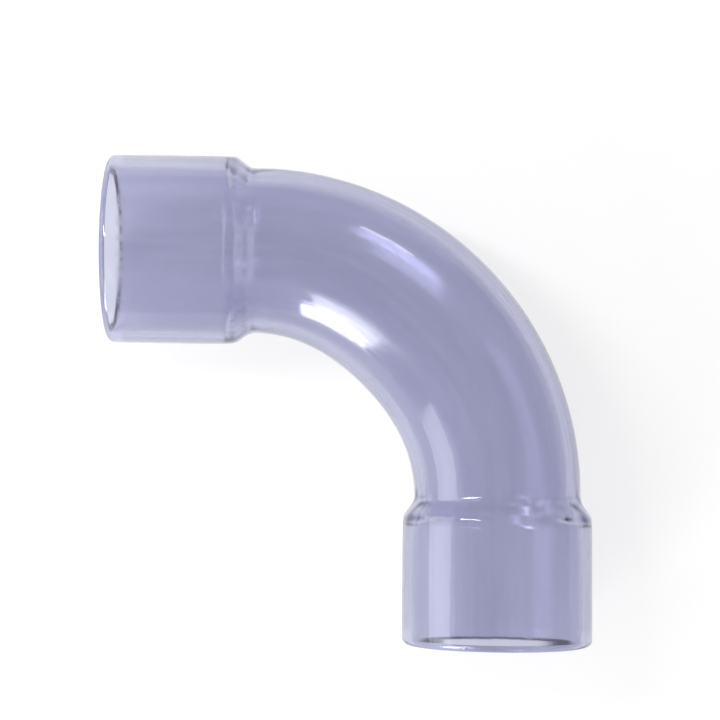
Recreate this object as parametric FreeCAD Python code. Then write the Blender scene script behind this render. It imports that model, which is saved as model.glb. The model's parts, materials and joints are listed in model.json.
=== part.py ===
# Clear PVC elbow: a long-radius quarter bend with a pipe socket belled out at each end.
# It is one piece. It lies on its side, with both legs level.
#
# Frame: millimetres, +Z up. The origin is under the middle of the elbow's bounding box, at the
# level of its lowest line. Leg A opens towards -X and leg B towards -Y.

import FreeCAD, Part

import math
import os

# The pipe that the elbow is made for (1 1/2 inch nominal, schedule 40)
PIPE_DIAMETER = 48.26
PIPE_WALL = 3.68
PIPE_CLEARANCE = 0.12          # between the pipe and the socket's wall, all round

# The bend
BEND_RADIUS = 70.6             # of the centreline, where the bend leaves a leg
BEND_SWELL = 1.9               # how much wider the section is half-way round, all on the inside
BEND_SECTIONS = 13

# The sockets
SOCKET_WALL = 3.15             # thinned by the belling
SOCKET_DEPTH = 34.9            # from the mouth to the stop
STOP_LEAD = 2.0                # how much nearer the mouth the stop is than the shoulder outside
TAPER_ANGLE = 36.0             # of the shoulder and the stop, from the leg's axis

# Rounded edges
NECK_ROUND = 4.8               # between the bend's end and the shoulder
SHOULDER_ROUND = 4.0
STOP_ROUND = 1.5
BORE_ROUND = 6.0
RIM_OUTER_ROUND = 2.0
RIM_INNER_ROUND = 0.9

# Sizes that follow from them
body_radius = PIPE_DIAMETER / 2
bore_radius = body_radius - PIPE_WALL
socket_bore_radius = body_radius + PIPE_CLEARANCE
socket_outer_radius = socket_bore_radius + SOCKET_WALL
taper_slope = math.tan(math.radians(TAPER_ANGLE))
neck_length = NECK_ROUND * math.tan(math.radians(TAPER_ANGLE) / 2)
shoulder_distance = neck_length + (socket_outer_radius - body_radius) / taper_slope
stop_distance = shoulder_distance + STOP_LEAD
mouth_distance = stop_distance + SOCKET_DEPTH
bore_distance = stop_distance - (socket_bore_radius - bore_radius) / taper_slope

X_AXIS = FreeCAD.Vector(1, 0, 0)
Y_AXIS = FreeCAD.Vector(0, 1, 0)
Z_AXIS = FreeCAD.Vector(0, 0, 1)
BEND_CENTRE = FreeCAD.Vector(0, 0, 0)
QUARTER_TURN = 90.0
SAME_POINT = 1e-6              # two points nearer than this are one


def corner_arc(before, corner, after, rounding):
    """The arc that rounds a corner, tangent to both of its sides, as its start, middle and end."""
    back = (before - corner).normalize()
    ahead = (after - corner).normalize()
    half_angle = back.getAngle(ahead) / 2
    tangent_length = rounding / math.tan(half_angle)
    inward = (back + ahead).normalize()
    middle = corner + inward * (rounding / math.sin(half_angle) - rounding)
    return corner + back * tangent_length, middle, corner + ahead * tangent_length


def rounded_outline(corners):
    """A closed wire through (distance, radius, rounding) corners, each rounded by a true arc."""
    points = [FreeCAD.Vector(distance, radius, 0) for distance, radius, _ in corners]
    after = points[1:] + points[:1]
    starts = []
    ends = []
    edges = []
    for index, (_, _, rounding) in enumerate(corners):
        start = end = points[index]
        if rounding:
            start, middle, end = corner_arc(points[index - 1], start, after[index], rounding)
            edges.append(Part.Arc(start, middle, end).toShape())
        starts.append(start)
        ends.append(end)
    for end, start in zip(ends, starts[1:] + starts[:1]):
        if end.distanceToPoint(start) > SAME_POINT:
            edges.append(Part.makeLine(end, start))
    return Part.Wire(Part.__sortEdges__(edges))


def leg():
    """A leg's wall, from the bend at 0 out along +X: neck, shoulder and socket, with the stop inside."""
    outline = rounded_outline([
        (0, body_radius, 0),
        (neck_length, body_radius, NECK_ROUND),
        (shoulder_distance, socket_outer_radius, SHOULDER_ROUND),
        (mouth_distance, socket_outer_radius, RIM_OUTER_ROUND),
        (mouth_distance, socket_bore_radius, RIM_INNER_ROUND),
        (stop_distance, socket_bore_radius, STOP_ROUND),
        (bore_distance, bore_radius, BORE_ROUND),
        (0, bore_radius, 0),
    ])
    return Part.Face(outline).revolve(FreeCAD.Vector(0, 0, 0), X_AXIS, 360)


def bend_section(share, wall):
    """The circle at one share of the turn, from leg A at 0 to leg B at 1, with the wall taken off."""
    angle = math.radians(QUARTER_TURN * share)
    radius = body_radius + BEND_SWELL / 2 * math.sin(math.pi * share) ** 2
    reach = BEND_RADIUS + body_radius - radius
    outward = X_AXIS * math.sin(angle) + Y_AXIS * math.cos(angle)
    circle = Part.Circle(BEND_CENTRE + outward * reach, Z_AXIS.cross(outward), radius - wall)
    circle.XAxis = outward
    return Part.Wire([circle.toShape()])


def bend():
    """The bend's wall: the outside's sections lofted, less the bore's."""
    shares = [index / (BEND_SECTIONS - 1) for index in range(BEND_SECTIONS)]
    outside = Part.makeLoft([bend_section(share, 0) for share in shares], True, False)
    bore = Part.makeLoft([bend_section(share, PIPE_WALL) for share in shares], True, False)
    return outside.cut(bore)


def elbow():
    leg_a = leg()
    leg_a.rotate(BEND_CENTRE, Z_AXIS, 2 * QUARTER_TURN)
    leg_a.translate(Y_AXIS * BEND_RADIUS)
    leg_b = leg()
    leg_b.rotate(BEND_CENTRE, Z_AXIS, -QUARTER_TURN)
    leg_b.translate(X_AXIS * BEND_RADIUS)
    whole = bend().fuse([leg_a, leg_b]).removeSplitter()
    middle = (BEND_RADIUS + socket_outer_radius - mouth_distance) / 2
    whole.translate(FreeCAD.Vector(-middle, -middle, socket_outer_radius))
    return whole.Solids[0]


os.makedirs("parts", exist_ok=True)
elbow().exportStep("parts/elbow.step")
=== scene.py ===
import json
import math
from collections import namedtuple

import bpy
from mathutils import Matrix, Vector, noise


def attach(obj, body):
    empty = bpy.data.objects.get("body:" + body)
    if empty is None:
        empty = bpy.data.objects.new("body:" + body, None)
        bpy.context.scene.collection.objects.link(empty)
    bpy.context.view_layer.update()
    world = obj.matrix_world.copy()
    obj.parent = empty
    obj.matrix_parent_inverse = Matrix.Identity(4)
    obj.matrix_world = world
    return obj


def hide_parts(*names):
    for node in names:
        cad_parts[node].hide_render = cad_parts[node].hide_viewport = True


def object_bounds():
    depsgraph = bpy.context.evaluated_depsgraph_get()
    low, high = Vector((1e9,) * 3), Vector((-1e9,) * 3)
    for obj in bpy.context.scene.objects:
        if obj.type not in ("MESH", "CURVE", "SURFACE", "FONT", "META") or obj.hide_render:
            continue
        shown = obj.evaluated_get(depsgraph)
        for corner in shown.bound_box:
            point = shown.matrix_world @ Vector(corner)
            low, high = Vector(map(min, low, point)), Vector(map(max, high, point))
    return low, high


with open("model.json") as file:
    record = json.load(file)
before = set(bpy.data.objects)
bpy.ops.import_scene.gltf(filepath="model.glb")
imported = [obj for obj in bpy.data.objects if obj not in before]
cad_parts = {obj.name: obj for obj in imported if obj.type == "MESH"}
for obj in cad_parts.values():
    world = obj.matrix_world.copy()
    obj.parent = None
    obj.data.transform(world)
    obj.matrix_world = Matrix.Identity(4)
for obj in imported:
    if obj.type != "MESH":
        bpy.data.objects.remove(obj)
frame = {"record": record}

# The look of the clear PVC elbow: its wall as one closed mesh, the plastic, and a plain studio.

cad_low, cad_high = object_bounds()

# All lengths are in metres, in the frame's own axes.
MM = 0.001
UP = Vector((0, 0, 1))
QUARTER_TURN = math.pi / 2
FULL_TURN = math.pi * 2

# The elbow's construction: what the frame gives, and the sizes that it doesn't
mounts = {mount["name"]: mount for mount in frame["record"]["mounts"]}
socket_bore_radius = mounts["socket_a"]["dims"]["r_mm"] * MM
axis_height = (cad_low.z + cad_high.z) / 2
socket_outer_radius = (cad_high.z - cad_low.z) / 2
leg_offset = mounts["socket_a"]["pos_m"][1]
BEND_RADIUS = 70.6 * MM
BEND_SWELL = 1.9 * MM
BODY_RADIUS = 24.13 * MM
BODY_WALL = 3.68 * MM
SOCKET_DEPTH = 34.9 * MM
STOP_LEAD = 2.0 * MM            # how much nearer the mouth the stop is than the shoulder outside
TAPER_ANGLE = math.radians(36)
NECK_ROUND = 4.8 * MM
SHOULDER_ROUND = 4.0 * MM
STOP_ROUND = 4.0 * MM           # 1.5 mm in the CAD, where a dark ring shows: 0.13 mm apart at most
BORE_ROUND = 6.0 * MM
RIM_OUTER_ROUND = 2.0 * MM
RIM_INNER_ROUND = 0.9 * MM

bore_radius = BODY_RADIUS - BODY_WALL
bend_length = BEND_RADIUS * QUARTER_TURN
bend_centre = Vector((leg_offset - BEND_RADIUS, leg_offset - BEND_RADIUS, axis_height))
neck_length = NECK_ROUND * math.tan(TAPER_ANGLE / 2)
shoulder_distance = neck_length + (socket_outer_radius - BODY_RADIUS) / math.tan(TAPER_ANGLE)
stop_distance = shoulder_distance + STOP_LEAD
mouth_distance = stop_distance + SOCKET_DEPTH
bore_distance = stop_distance - (socket_bore_radius - bore_radius) / math.tan(TAPER_ANGLE)

# How finely the mesh is divided
AROUND = 192
BEND_STEPS = 96
ARC_STEPS = 6
LONGEST_STEP = 1.2 * MM
SAME_POINT = 0.01 * MM          # two points nearer than this are one

# Waves left in the wall by the forming, deepest inside next to each shoulder
WAVE_LENGTH = 30.0 * MM
WAVES_AROUND = 2.5
OUTSIDE_WAVE = 0.05 * MM
INSIDE_WAVE = 0.1 * MM
FORMED_WAVE = 0.3 * MM
FORMED_LENGTH = 6.0 * MM
DENT_LENGTH = 5.0 * MM
DENTS_AROUND = 4.0
DENT_DEPTH = 0.35 * MM

# The plastic: the tint counts once for each wall, and the absorption by the way through it
REFRACTIVE_INDEX = 1.53
PALE_TINT = (0.725, 0.725, 0.835, 1)
DEEP_TINT = (0.665, 0.67, 0.785, 1)
ABSORPTION_COLOUR = (0.40, 0.415, 0.665, 1)
ABSORPTION_DENSITY = 65

# Patches of deeper tint, over this range of the noise
NOISE_DETAIL = 3
CLOUD_LENGTH = 50.0 * MM
CLOUD_WIDTH = 12.0 * MM
CLOUD_RANGE = (0.35, 0.65)

# Fine streaks, which are rougher and stand a little proud
STREAK_LENGTH = 50.0 * MM
STREAK_WIDTH = 1.8 * MM
STREAK_RANGE = (0.4, 0.62)
STREAK_DEPTH = 0.03 * MM
STREAKS_FADE = 3.0 * MM
ROUGHNESS_RANGE = (0.06, 0.17)

# Specks, in the cells whose random value is in this range or above it
SPECK_TINT = (0.25, 0.25, 0.28, 1)
SPECK_SPACING = 12.0 * MM
SPECK_SIZE = 0.35 * MM
SPECK_RANGE = (0.75, 0.76)

# The studio. The floor's glow and the world's higher level are there for what is seen, straight or
# through the wall.
FLOOR_SIZE = 4.0
FLOOR_COLOUR = (0.35, 0.35, 0.35, 1)
FLOOR_GLOW = 0.7
WORLD_COLOUR = (1, 1, 1, 1)
WORLD_LEVEL = 0.52
WORLD_SEEN_LEVEL = 1.0
LIGHT_BOUNCES = 32              # light is passed on many times inside the clear wall

# Lamps: azimuth from +X and elevation in degrees, width and height in metres, power in watts
LAMP_DISTANCE = 0.6
LAMPS = {
    "key": (-123, 8, 0.2, 0.2, 1.9),
    "key_edge": (-126, 27, 0.16, 0.24, 0.9),
    "second": (67, 32, 0.12, 0.015, 0.05),
    "strip": (157, 50, 0.04, 0.3, 1.6),
    "left_panel": (180, 14, 0.7, 0.36, 2.1),
}

# The camera, tilted away from straight overhead towards -X and -Y
CAMERA_TILT_LEFT = math.radians(1.347)
CAMERA_TILT_DOWN = math.radians(4.591)
CAMERA_ROLL = math.radians(0.58)
CAMERA_DISTANCE = 500 * MM
CAMERA_TARGET = Vector((2.9 * MM, 11.4 * MM, axis_height))
CAMERA_LENS = 85.8

# A circle of the wall: its middle, the way out from the bend's centre, its radius, and how far along
# the elbow it is, from the middle of the bend towards leg B
Ring = namedtuple("Ring", ["centre", "outward", "radius", "along"])


def rounded(corners):
    """Points (distance, radius) along a line of corners, each rounded by an arc tangent to its sides."""
    points = []
    for index, (distance, radius, rounding) in enumerate(corners):
        corner = Vector((distance, radius))
        if not rounding:
            points.append(corner)
            continue
        back = (Vector(corners[index - 1][:2]) - corner).normalized()
        ahead = (Vector(corners[index + 1][:2]) - corner).normalized()
        half_angle = back.angle(ahead) / 2
        centre = corner + (back + ahead).normalized() * rounding / math.sin(half_angle)
        start = corner + back * rounding / math.tan(half_angle) - centre
        end = corner + ahead * rounding / math.tan(half_angle) - centre
        for step in range(ARC_STEPS + 1):
            points.append(centre + start.lerp(end, step / ARC_STEPS).normalized() * rounding)
    return points


def divided(points):
    """The same line with its long stretches divided and its double points left out."""
    line = [points[0]]
    for point in points[1:]:
        length = (point - line[-1]).length
        if length < SAME_POINT:
            continue
        steps = math.ceil(length / LONGEST_STEP)
        start = line[-1]
        line += [start.lerp(point, step / steps) for step in range(1, steps + 1)]
    return line


def leg_line():
    """A leg's wall from the bend out over the rim and back in to the bend, as (distance, radius)."""
    return divided(rounded([
        (0, BODY_RADIUS, 0),
        (neck_length, BODY_RADIUS, NECK_ROUND),
        (shoulder_distance, socket_outer_radius, SHOULDER_ROUND),
        (mouth_distance, socket_outer_radius, RIM_OUTER_ROUND),
        (mouth_distance, socket_bore_radius, RIM_INNER_ROUND),
        (stop_distance, socket_bore_radius, STOP_ROUND),
        (bore_distance, bore_radius, BORE_ROUND),
        (0, bore_radius, 0),
    ]))


def bend_rings(wall):
    """Rings round the bend between its ends, from leg A to leg B, with the wall taken off."""
    rings = []
    for step in range(1, BEND_STEPS):
        share = step / BEND_STEPS
        angle = QUARTER_TURN * share
        outward = Vector((math.sin(angle), math.cos(angle), 0))
        radius = BODY_RADIUS + BEND_SWELL / 2 * math.sin(math.pi * share) ** 2
        centre = bend_centre + outward * (BEND_RADIUS + BODY_RADIUS - radius)
        rings.append(Ring(centre, outward, radius - wall, (share - 0.5) * bend_length))
    return rings


def leg_rings(way_out, outward, sign):
    """Rings of one leg's wall, out along its outside and back in along its bore."""
    start = bend_centre + outward * BEND_RADIUS
    rings = []
    for distance, radius in leg_line():
        along = sign * (bend_length / 2 + distance)
        rings.append(Ring(start + way_out * distance, outward, radius, along))
    return rings


def elbow_rings():
    """Every ring of the wall, in one closed loop: out along leg B, in through its bore and back by leg A."""
    leg_a = leg_rings(Vector((-1, 0, 0)), Vector((0, 1, 0)), -1)
    leg_b = leg_rings(Vector((0, -1, 0)), Vector((1, 0, 0)), 1)
    return bend_rings(0) + leg_b + bend_rings(BODY_WALL)[::-1] + leg_a[::-1]


def waviness(along, angle, inside):
    """How far the wall's surface lies under its true radius: long waves, and dents next to a shoulder."""
    around = Vector((math.cos(angle), math.sin(angle), 0))
    wave = (1 + noise.noise(around * WAVES_AROUND + UP * along / WAVE_LENGTH)) / 2
    dent = (1 + noise.noise(around * DENTS_AROUND + UP * along / DENT_LENGTH)) / 2
    from_shoulder = abs(along) - bend_length / 2 - shoulder_distance / 2
    formed = math.exp(-(from_shoulder / FORMED_LENGTH) ** 2)
    if inside:
        return INSIDE_WAVE * wave + formed * (FORMED_WAVE * wave + DENT_DEPTH * dent)
    return OUTSIDE_WAVE * wave + formed * DENT_DEPTH * dent


def elbow_mesh():
    """The whole wall, outside and inside, as one closed mesh. Each ring starts at its lowest point."""
    rings = elbow_rings()
    inside_from = max(range(len(rings)), key=lambda index: rings[index].along)
    inside_to = min(range(len(rings)), key=lambda index: rings[index].along)
    points = []
    for number, ring in enumerate(rings):
        inside = inside_from <= number <= inside_to
        for index in range(AROUND):
            angle = FULL_TURN * index / AROUND - QUARTER_TURN
            reach = ring.radius - waviness(ring.along, angle, inside)
            direction = ring.outward * math.cos(angle) + UP * math.sin(angle)
            points.append(ring.centre + direction * reach)
    faces = []
    for number in range(len(rings)):
        here = number * AROUND
        ahead = (number + 1) % len(rings) * AROUND
        for index in range(AROUND):
            beside = (index + 1) % AROUND
            faces.append((here + index, here + beside, ahead + beside, ahead + index))
    mesh = bpy.data.meshes.new("clear_elbow")
    mesh.from_pydata(points, [], faces)
    mesh.shade_smooth()
    lay_out(mesh, rings)
    return mesh


def lay_out(mesh, rings):
    """A UV map in metres, along the elbow by round it, with its seam underneath."""
    layer = mesh.uv_layers.new(name="along_and_around")
    for face in mesh.polygons:
        first = face.vertices[0] % AROUND
        for loop in face.loop_indices:
            number, index = divmod(mesh.loops[loop].vertex_index, AROUND)
            # The last face of a ring ends at a full turn, and not at 0
            turn = AROUND if index < first else index
            layer.data[loop].uv = (rings[number].along, turn / AROUND * FULL_TURN * BODY_RADIUS)


def node_tree(owner):
    """The nodes and the links of a material or a world."""
    owner.use_nodes = True
    return owner.node_tree.nodes, owner.node_tree.links


def calculated(nodes, links, operation, *values):
    """The result of one math node."""
    node = nodes.new("ShaderNodeMath")
    node.operation = operation
    for value, socket in zip(values, node.inputs):
        links.new(value, socket)
    return node.outputs["Value"]


def map_range(nodes, links, value, low, high, to_low, to_high):
    """A value spread from one range to another, and held there."""
    node = nodes.new("ShaderNodeMapRange")
    for name, number in {"From Min": low, "From Max": high, "To Min": to_low, "To Max": to_high}.items():
        node.inputs[name].default_value = number
    links.new(value, node.inputs["Value"])
    return node.outputs["Result"]


def flat_place(nodes):
    """The place on the wall in metres, along the elbow and round it."""
    flat = nodes.new("ShaderNodeUVMap")
    flat.uv_map = "along_and_around"
    return flat.outputs["UV"]


def lengthwise(nodes, links, length, width):
    """Noise drawn out along the elbow: its patches are about this long and this wide."""
    stretch = nodes.new("ShaderNodeMapping")
    stretch.inputs["Scale"].default_value = (1 / length, 1 / width, 1)
    links.new(flat_place(nodes), stretch.inputs["Vector"])
    streaks = nodes.new("ShaderNodeTexNoise")
    streaks.inputs["Scale"].default_value = 1
    streaks.inputs["Detail"].default_value = NOISE_DETAIL
    links.new(stretch.outputs["Vector"], streaks.inputs["Vector"])
    return streaks.outputs["Fac"]


def off_the_rims(nodes, links, value):
    """A value as it is on the walls, and 0 on the rims, which were cut and not drawn."""
    apart = nodes.new("ShaderNodeSeparateXYZ")
    links.new(flat_place(nodes), apart.inputs["Vector"])
    from_middle = calculated(nodes, links, "ABSOLUTE", apart.outputs["X"])
    plain_from = bend_length / 2 + mouth_distance - RIM_OUTER_ROUND
    walls = map_range(nodes, links, from_middle, plain_from - STREAKS_FADE, plain_from, 1, 0)
    return calculated(nodes, links, "MULTIPLY", value, walls)


def specks(nodes, links):
    """1 on a few tiny dark specks in the plastic, and 0 between them."""
    place = nodes.new("ShaderNodeTexCoord")
    cells = nodes.new("ShaderNodeTexVoronoi")
    cells.inputs["Scale"].default_value = 1 / SPECK_SPACING
    links.new(place.outputs["Object"], cells.inputs["Vector"])
    near = map_range(nodes, links, cells.outputs["Distance"], SPECK_SIZE / SPECK_SPACING, 0, 0, 1)
    chosen = map_range(nodes, links, cells.outputs["Color"], *SPECK_RANGE, 0, 1)
    return calculated(nodes, links, "MULTIPLY", near, chosen)


def tint(nodes, links):
    """The tint of one wall: lavender, a little uneven along the elbow, darker on the specks."""
    base = nodes.new("ShaderNodeMix")
    base.data_type = "RGBA"
    base.inputs["A"].default_value = PALE_TINT
    base.inputs["B"].default_value = DEEP_TINT
    cloudy = lengthwise(nodes, links, CLOUD_LENGTH, CLOUD_WIDTH)
    links.new(map_range(nodes, links, cloudy, *CLOUD_RANGE, 0, 1), base.inputs["Factor"])
    speckled = nodes.new("ShaderNodeMix")
    speckled.data_type = "RGBA"
    speckled.inputs["B"].default_value = SPECK_TINT
    links.new(specks(nodes, links), speckled.inputs["Factor"])
    links.new(base.outputs["Result"], speckled.inputs["A"])
    return speckled.outputs["Result"]


def clear_pvc():
    """Glossy clear PVC with a lavender tint, drawn out in fine streaks by the forming."""
    material = bpy.data.materials.new("clear_pvc")
    nodes, links = node_tree(material)
    shader = nodes["Principled BSDF"]
    shader.inputs["IOR"].default_value = REFRACTIVE_INDEX
    shader.inputs["Transmission Weight"].default_value = 1
    links.new(tint(nodes, links), shader.inputs["Base Color"])
    streaks = off_the_rims(nodes, links, lengthwise(nodes, links, STREAK_LENGTH, STREAK_WIDTH))
    haze = map_range(nodes, links, streaks, *STREAK_RANGE, *ROUGHNESS_RANGE)
    links.new(haze, shader.inputs["Roughness"])
    bump = nodes.new("ShaderNodeBump")
    bump.inputs["Distance"].default_value = STREAK_DEPTH
    links.new(streaks, bump.inputs["Height"])
    links.new(bump.outputs["Normal"], shader.inputs["Normal"])
    absorption = nodes.new("ShaderNodeVolumeAbsorption")
    absorption.inputs["Color"].default_value = ABSORPTION_COLOUR
    absorption.inputs["Density"].default_value = ABSORPTION_DENSITY
    links.new(absorption.outputs["Volume"], nodes["Material Output"].inputs["Volume"])
    return material


def seen_by(nodes, links, *kinds):
    """1 for rays of these kinds, and 0 for all others."""
    path = nodes.new("ShaderNodeLightPath")
    seen = path.outputs[f"Is {kinds[0]} Ray"]
    for kind in kinds[1:]:
        seen = calculated(nodes, links, "MAXIMUM", seen, path.outputs[f"Is {kind} Ray"])
    return seen


def pale_floor():
    """A pale floor that keeps the elbow's shadow and comes out white in the picture."""
    material = bpy.data.materials.new("pale_floor")
    nodes, links = node_tree(material)
    nodes.clear()
    output = nodes.new("ShaderNodeOutputMaterial")
    diffuse = nodes.new("ShaderNodeBsdfDiffuse")
    diffuse.inputs["Color"].default_value = FLOOR_COLOUR
    glow = nodes.new("ShaderNodeEmission")
    glow.inputs["Strength"].default_value = FLOOR_GLOW
    dark = nodes.new("ShaderNodeEmission")
    dark.inputs["Strength"].default_value = 0
    pick = nodes.new("ShaderNodeMixShader")
    links.new(seen_by(nodes, links, "Camera", "Glossy", "Transmission"), pick.inputs["Fac"])
    links.new(dark.outputs[0], pick.inputs[1])
    links.new(glow.outputs[0], pick.inputs[2])
    both = nodes.new("ShaderNodeAddShader")
    links.new(diffuse.outputs[0], both.inputs[0])
    links.new(pick.outputs[0], both.inputs[1])
    links.new(both.outputs[0], output.inputs["Surface"])
    return material


def white_world():
    """Plain soft light from all round. Seen straight or through the wall, it is white."""
    world = bpy.data.worlds.new("studio")
    nodes, links = node_tree(world)
    background = nodes["Background"]
    background.inputs["Color"].default_value = WORLD_COLOUR
    seen = seen_by(nodes, links, "Camera", "Transmission")
    level = map_range(nodes, links, seen, 0, 1, WORLD_LEVEL, WORLD_SEEN_LEVEL)
    links.new(level, background.inputs["Strength"])
    bpy.context.scene.world = world


def add(name, data):
    """A new object in the scene."""
    holder = bpy.data.objects.new(name, data)
    bpy.context.scene.collection.objects.link(holder)
    return holder


def softbox(name, azimuth, elevation, width, height, power):
    """A rectangular lamp that faces the elbow's middle."""
    lamp = bpy.data.lights.new(name, "AREA")
    lamp.shape = "RECTANGLE"
    lamp.size = width
    lamp.size_y = height
    lamp.energy = power
    level = Vector((math.cos(math.radians(azimuth)), math.sin(math.radians(azimuth)), 0))
    direction = level * math.cos(math.radians(elevation)) + UP * math.sin(math.radians(elevation))
    holder = add(name, lamp)
    holder.location = Vector((0, 0, axis_height)) + direction * LAMP_DISTANCE
    holder.rotation_euler = direction.to_track_quat("Z", "Y").to_euler()


def camera():
    """A long lens nearly straight above the elbow, with leg A to the left and leg B below."""
    back = Vector((-math.sin(CAMERA_TILT_LEFT), -math.sin(CAMERA_TILT_DOWN), 0))
    back.z = math.sqrt(1 - back.length_squared)
    level_up = (Vector((0, 1, 0)) - back * back.y).normalized()
    level_right = level_up.cross(back)
    right = level_right * math.cos(CAMERA_ROLL) + level_up * math.sin(CAMERA_ROLL)
    up = level_up * math.cos(CAMERA_ROLL) - level_right * math.sin(CAMERA_ROLL)
    data = bpy.data.cameras.new("camera")
    data.lens = CAMERA_LENS
    holder = add("camera", data)
    holder.matrix_world = Matrix((right, up, back)).transposed().to_4x4()
    holder.location = back * CAMERA_DISTANCE + CAMERA_TARGET
    bpy.context.scene.camera = holder


camera()
elbow = add("clear_elbow", elbow_mesh())
elbow.data.materials.append(clear_pvc())
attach(elbow, "root")
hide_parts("elbow")

bpy.ops.mesh.primitive_plane_add(size=FLOOR_SIZE, location=(0, 0, cad_low.z))
floor = bpy.context.object
floor.name = "floor"
floor.data.materials.append(pale_floor())

white_world()
for lamp_name, lamp_values in LAMPS.items():
    softbox(lamp_name, *lamp_values)

bpy.context.scene.view_settings.view_transform = "Standard"
cycles = bpy.context.scene.cycles
cycles.max_bounces = LIGHT_BOUNCES
cycles.glossy_bounces = LIGHT_BOUNCES
cycles.transmission_bounces = LIGHT_BOUNCES
